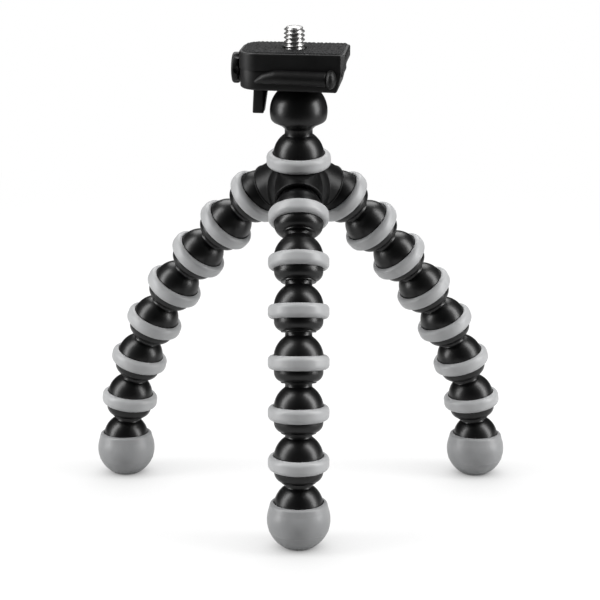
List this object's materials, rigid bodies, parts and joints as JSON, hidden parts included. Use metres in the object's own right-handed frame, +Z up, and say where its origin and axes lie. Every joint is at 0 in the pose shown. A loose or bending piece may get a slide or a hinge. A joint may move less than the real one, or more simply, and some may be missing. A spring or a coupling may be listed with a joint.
{
  "type": "flexible leg tripod",
  "caption": "Compact camera tripod with flexible ball-and-socket legs, rubber grip rings, round feet and a quick-release head with a 1/4 inch stud.",
  "frame": {"origin": "on the ground under the middle of the stance's box", "axes": "+Z up through the head, +X to the right and +Y to the back as the camera plate faces the front leg"},
  "size_m": [0.1376, 0.0906, 0.153],
  "materials": {
    "black_plastic": "satin moulded plastic",
    "grey_rubber": "matt soft rubber",
    "pad_rubber": "coarse pebbled rubber",
    "steel": "bright plated steel"
  },
  "bodies": {
    "hub": {"hub": "black_plastic", "hub_ring": "grey_rubber"},
    "stem": {"stem": "black_plastic", "pan_screw": "steel"},
    "head": {"head_base": "black_plastic", "lever_pin": "steel"},
    "lever": {"clamp_lever": "black_plastic"},
    "jaw": {"clamp_jaw": "black_plastic"},
    "knob": {"side_knob": "black_plastic"},
    "tab": {"release_tab": "black_plastic"},
    "plate": {"camera_plate": "black_plastic", "grip_pad": "pad_rubber"},
    "screw": {"camera_screw": "steel"},
    "front_1": {"front_link_1": "black_plastic", "front_ring_1": "grey_rubber"},
    "front_2": {"front_link_2": "black_plastic", "front_ring_2": "grey_rubber"},
    "front_3": {"front_link_3": "black_plastic", "front_ring_3": "grey_rubber"},
    "front_4": {"front_link_4": "black_plastic", "front_ring_4": "grey_rubber"},
    "front_5": {"front_link_5": "black_plastic", "front_ring_5": "grey_rubber"},
    "front_6": {"front_link_6": "black_plastic", "front_ring_6": "grey_rubber"},
    "front_foot": {"front_foot_socket": "black_plastic", "front_foot_boot": "grey_rubber"},
    "right_1": {"right_link_1": "black_plastic", "right_ring_1": "grey_rubber"},
    "right_2": {"right_link_2": "black_plastic", "right_ring_2": "grey_rubber"},
    "right_3": {"right_link_3": "black_plastic", "right_ring_3": "grey_rubber"},
    "right_4": {"right_link_4": "black_plastic", "right_ring_4": "grey_rubber"},
    "right_5": {"right_link_5": "black_plastic", "right_ring_5": "grey_rubber"},
    "right_6": {"right_link_6": "black_plastic", "right_ring_6": "grey_rubber"},
    "right_7": {"right_link_7": "black_plastic", "right_ring_7": "grey_rubber"},
    "right_foot": {"right_foot_socket": "black_plastic", "right_foot_boot": "grey_rubber"},
    "left_1": {"left_link_1": "black_plastic", "left_ring_1": "grey_rubber"},
    "left_2": {"left_link_2": "black_plastic", "left_ring_2": "grey_rubber"},
    "left_3": {"left_link_3": "black_plastic", "left_ring_3": "grey_rubber"},
    "left_4": {"left_link_4": "black_plastic", "left_ring_4": "grey_rubber"},
    "left_5": {"left_link_5": "black_plastic", "left_ring_5": "grey_rubber"},
    "left_6": {"left_link_6": "black_plastic", "left_ring_6": "grey_rubber"},
    "left_7": {"left_link_7": "black_plastic", "left_ring_7": "grey_rubber"},
    "left_foot": {"left_foot_socket": "black_plastic", "left_foot_boot": "grey_rubber"}
  },
  "joints": [
    {"name": "stem_tilt", "type": "hinge", "parent": "hub", "child": "stem", "pos_m": [-0.0006, 0.00099, 0.11334], "axis": [1, 0, 0], "range_deg": [-32, 32]},
    {"name": "head_pan", "type": "hinge", "parent": "stem", "child": "head", "pos_m": [-0.0006, -0.00046, 0.12711], "axis": [0, -0.1045, 0.9945], "continuous": true},
    {"name": "lever_swing", "type": "hinge", "parent": "head", "child": "lever", "pos_m": [0.00724, -0.01317, 0.13744], "axis": [0.1132, 0.9881, 0.1039], "range_deg": [-95, 0]},
    {"name": "jaw_slide", "type": "slide", "parent": "head", "child": "jaw", "axis": [0.1132, 0.9881, 0.1039], "range_m": [-0.0006, 0], "stiffness_N_per_m": 0.01, "springref_m": 0.0044},
    {"name": "knob_turn", "type": "hinge", "parent": "head", "child": "knob", "pos_m": [-0.01799, 0.00016, 0.1402], "axis": [0.9936, -0.1126, -0.0118], "continuous": true},
    {"name": "tab_swing", "type": "hinge", "parent": "head", "child": "tab", "pos_m": [-0.01183, -0.00015, 0.13634], "axis": [0.1132, 0.9881, 0.1039], "range_deg": [0, 30], "stiffness_Nm_per_rad": 0.02},
    {"name": "plate_slide", "type": "slide", "parent": "head", "child": "plate", "axis": [0.9936, -0.1126, -0.0118], "range_m": [0, 0.032]},
    {"name": "screw_turn", "type": "hinge", "parent": "plate", "child": "screw", "pos_m": [-0.00189, -0.00176, 0.1409], "axis": [0, -0.1045, 0.9945], "continuous": true},
    {"name": "front_ball_1", "type": "hinge", "parent": "hub", "child": "front_1", "pos_m": [-0.0006, -0.01204, 0.09764], "axis": [-1, 0, 0], "range_deg": [-8, 40]},
    {"name": "front_ball_2", "type": "hinge", "parent": "front_1", "child": "front_2", "pos_m": [-0.0006, -0.02086, 0.0855], "axis": [1, 0, 0], "range_deg": [-47.3, 22.7]},
    {"name": "front_ball_3", "type": "hinge", "parent": "front_2", "child": "front_3", "pos_m": [-0.0006, -0.02689, 0.07177], "axis": [-1, 0, 0], "range_deg": [-28, 42]},
    {"name": "front_ball_4", "type": "hinge", "parent": "front_3", "child": "front_4", "pos_m": [-0.0006, -0.0312, 0.0574], "axis": [1, 0, 0], "range_deg": [-40.82, 29.18]},
    {"name": "front_ball_5", "type": "hinge", "parent": "front_4", "child": "front_5", "pos_m": [-0.0006, -0.03404, 0.04267], "axis": [-1, 0, 0], "range_deg": [-29.84, 40.16]},
    {"name": "front_ball_6", "type": "hinge", "parent": "front_5", "child": "front_6", "pos_m": [-0.0006, -0.03553, 0.02775], "axis": [1, 0, 0], "range_deg": [-39.73, 30.27]},
    {"name": "front_foot_ball", "type": "hinge", "parent": "front_6", "child": "front_foot", "pos_m": [-0.0006, -0.03579, 0.01275], "axis": [-1, 0, 0], "range_deg": [-34, 36]},
    {"name": "right_ball_1", "type": "hinge", "parent": "hub", "child": "right_1", "pos_m": [0.01204, 0.00974, 0.09993], "axis": [0.4695, -0.8829, 0], "range_deg": [-9.27, 38.73]},
    {"name": "right_ball_2", "type": "hinge", "parent": "right_1", "child": "right_2", "pos_m": [0.02162, 0.01483, 0.08957], "axis": [-0.4695, 0.8829, 0], "range_deg": [-36.8, 33.2]},
    {"name": "right_ball_3", "type": "hinge", "parent": "right_2", "child": "right_3", "pos_m": [0.03091, 0.01977, 0.07887], "axis": [0.4695, -0.8829, 0], "range_deg": [-30.96, 39.04]},
    {"name": "right_ball_4", "type": "hinge", "parent": "right_3", "child": "right_4", "pos_m": [0.03951, 0.02434, 0.06746], "axis": [-0.4695, 0.8829, 0], "range_deg": [-40.8, 29.2]},
    {"name": "right_ball_5", "type": "hinge", "parent": "right_4", "child": "right_5", "pos_m": [0.04704, 0.02834, 0.05513], "axis": [0.4695, -0.8829, 0], "range_deg": [-27.66, 42.34]},
    {"name": "right_ball_6", "type": "hinge", "parent": "right_5", "child": "right_6", "pos_m": [0.05312, 0.03158, 0.0418], "axis": [-0.4695, 0.8829, 0], "range_deg": [-43.76, 26.24]},
    {"name": "right_ball_7", "type": "hinge", "parent": "right_6", "child": "right_7", "pos_m": [0.05734, 0.03382, 0.02758], "axis": [0.4695, -0.8829, 0], "range_deg": [-24.92, 45.08]},
    {"name": "right_foot_ball", "type": "hinge", "parent": "right_7", "child": "right_foot", "pos_m": [0.0593, 0.03486, 0.01275], "axis": [-0.4695, 0.8829, 0], "range_deg": [-43.5, 26.5]},
    {"name": "left_ball_1", "type": "hinge", "parent": "hub", "child": "left_1", "pos_m": [-0.01324, 0.00974, 0.09993], "axis": [0.4924, 0.8704, 0], "range_deg": [-11.19, 36.81]},
    {"name": "left_ball_2", "type": "hinge", "parent": "left_1", "child": "left_2", "pos_m": [-0.02299, 0.01525, 0.08995], "axis": [-0.4924, -0.8704, 0], "range_deg": [-38, 32]},
    {"name": "left_ball_3", "type": "hinge", "parent": "left_2", "child": "left_3", "pos_m": [-0.03227, 0.0205, 0.07939], "axis": [0.4924, 0.8704, 0], "range_deg": [-29.81, 40.19]},
    {"name": "left_ball_4", "type": "hinge", "parent": "left_3", "child": "left_4", "pos_m": [-0.04067, 0.02526, 0.06792], "axis": [-0.4924, -0.8704, 0], "range_deg": [-41.55, 28.45]},
    {"name": "left_ball_5", "type": "hinge", "parent": "left_4", "child": "left_5", "pos_m": [-0.04789, 0.02934, 0.05541], "axis": [0.4924, 0.8704, 0], "range_deg": [-27.37, 42.63]},
    {"name": "left_ball_6", "type": "hinge", "parent": "left_5", "child": "left_6", "pos_m": [-0.05359, 0.03256, 0.04192], "axis": [-0.4924, -0.8704, 0], "range_deg": [-43.55, 26.45]},
    {"name": "left_ball_7", "type": "hinge", "parent": "left_6", "child": "left_7", "pos_m": [-0.05748, 0.03477, 0.0276], "axis": [0.4924, 0.8704, 0], "range_deg": [-25.64, 44.36]},
    {"name": "left_foot_ball", "type": "hinge", "parent": "left_7", "child": "left_foot", "pos_m": [-0.0593, 0.03579, 0.01275], "axis": [-0.4924, -0.8704, 0], "range_deg": [-43, 27]}
  ],
  "couplings": [
    {"joint": "jaw_slide", "follows": "lever_swing", "m_per_rad": 0.00036187}
  ]
}
